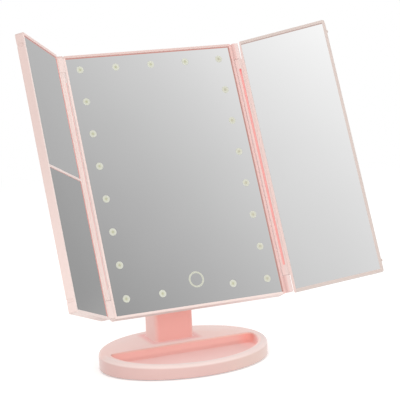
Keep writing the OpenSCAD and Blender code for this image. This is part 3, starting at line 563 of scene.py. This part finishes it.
def floor_material():
    """A white floor that keeps the object's shadow near it and goes over into plain white further out."""
    n = Nodes("floor")
    n.set(Base_Color=srgb(244, 243, 242), Roughness=0.9, Normal=n.bump(n.noise(300, 2), 0.02, GRAIN))
    path = n.add("LightPath").outputs
    seen = n.math("MAXIMUM", path["Is Camera Ray"], path["Is Glossy Ray"])
    seen = n.math("MAXIMUM", seen, path["Is Transmission Ray"])
    away = n.add("VectorMath", {0: n.position()}, operation="LENGTH").outputs["Value"]
    strength = n.math("MULTIPLY", seen, FLOOR_LIFT)
    lift = n.add("Emission", {"Color": (1, 1, 1, 1), "Strength": strength}).outputs[0]
    near = n.add("AddShader", {0: n.shader.outputs[0], 1: lift}).outputs[0]
    white = n.add("Emission", {"Color": (1, 1, 1, 1), "Strength": 1.0}).outputs[0]
    far = n.math("MULTIPLY", n.span(away, *FLOOR_WHITE), seen)
    mixed = n.add("MixShader", {0: far, 1: near, 2: white}).outputs[0]
    below = n.add("NewGeometry").outputs["Backfacing"]      # the object's underside shows from below
    mixed = n.add("MixShader", {0: below, 1: mixed, 2: n.add("BsdfTransparent").outputs[0]}).outputs[0]
    n.tree.links.new(mixed, n.tree.nodes["Material Output"].inputs["Surface"])
    return n.material


def make_floor():
    mesh = bpy.data.meshes.new("floor")
    bm = bmesh.new()
    bmesh.ops.create_circle(bm, cap_ends=True, segments=96, radius=6)
    bm.to_mesh(mesh)
    bm.free()
    floor = bpy.data.objects.new("floor", mesh)
    floor.location.z = -FLOOR_DROP
    bpy.context.scene.collection.objects.link(floor)
    mesh.materials.append(floor_material())


make_floor()


def make_world():
    """White surroundings: full white to the eye and in reflections, and softer as light."""
    world = bpy.data.worlds.new("studio")
    bpy.context.scene.world = world
    world.use_nodes = True
    tree = world.node_tree
    back = tree.nodes["Background"]
    back.inputs["Color"].default_value = (1, 1, 1, 1)
    path = tree.nodes.new("ShaderNodeLightPath")
    seen = tree.nodes.new("ShaderNodeMath")
    seen.operation = "MAXIMUM"
    tree.links.new(path.outputs["Is Camera Ray"], seen.inputs[0])
    tree.links.new(path.outputs["Is Glossy Ray"], seen.inputs[1])
    both = tree.nodes.new("ShaderNodeMath")
    both.operation = "MAXIMUM"
    tree.links.new(seen.outputs[0], both.inputs[0])
    tree.links.new(path.outputs["Is Transmission Ray"], both.inputs[1])
    level = tree.nodes.new("ShaderNodeMapRange")
    level.inputs["To Min"].default_value = WORLD_LIGHT
    level.inputs["To Max"].default_value = 1.0
    tree.links.new(both.outputs[0], level.inputs["Value"])
    tree.links.new(level.outputs[0], back.inputs["Strength"])


make_world()


def softbox(name, place, target, size, watts):
    data = bpy.data.lights.new(name, "AREA")
    data.shape = "RECTANGLE"
    data.size, data.size_y = size
    data.energy = watts
    lamp = bpy.data.objects.new(name, data)
    bpy.context.scene.collection.objects.link(lamp)
    lamp.location = place
    lamp.rotation_mode = "QUATERNION"
    lamp.rotation_quaternion = (Vector(target) - Vector(place)).to_track_quat("-Z", "Y")
    lamp.visible_glossy = False


softbox("key", (-1.2, -1.6, 2.2), (0, 0, 0.1), (1.6, 1.6), 12)
softbox("fill", (1.6, -1.4, 1.2), (0, 0, 0.15), (1.8, 1.4), 4)
softbox("front", (-0.45, -1.6, 0.45), (0, 0, 0.06), (1.6, 0.8), 6)


# ---------- Camera at the photograph's angle ----------

AZIMUTH, ELEVATION, ROLL = math.radians(-24.51), math.radians(9.12), math.radians(2.68)
DISTANCE = 1.2859
TARGET = Vector((1.88, -44.86, 149.14)) * MM
FOCAL_PX, IMAGE_PX, SENSOR = 1530.6, 400, 36.0


def make_camera():
    data = bpy.data.cameras.new("camera")
    data.sensor_width = SENSOR
    data.lens = SENSOR * FOCAL_PX / IMAGE_PX
    data.clip_start, data.clip_end = 0.05, 50
    camera = bpy.data.objects.new("camera", data)
    bpy.context.scene.collection.objects.link(camera)
    bpy.context.scene.camera = camera
    back = Vector((
        math.sin(AZIMUTH) * math.cos(ELEVATION),
        -math.cos(AZIMUTH) * math.cos(ELEVATION),
        math.sin(ELEVATION),
    ))
    forward = -back
    right = forward.cross(Vector((0, 0, 1))).normalized()
    down = forward.cross(right)
    c, s = math.cos(ROLL), math.sin(ROLL)
    turned_right = right * c + down * s
    turned_down = down * c - right * s
    turn = Matrix((turned_right, -turned_down, -forward)).transposed()
    camera.matrix_world = Matrix.Translation(TARGET + back * DISTANCE) @ turn.to_4x4()


make_camera()

view = bpy.context.scene.view_settings
view.view_transform = "Standard"
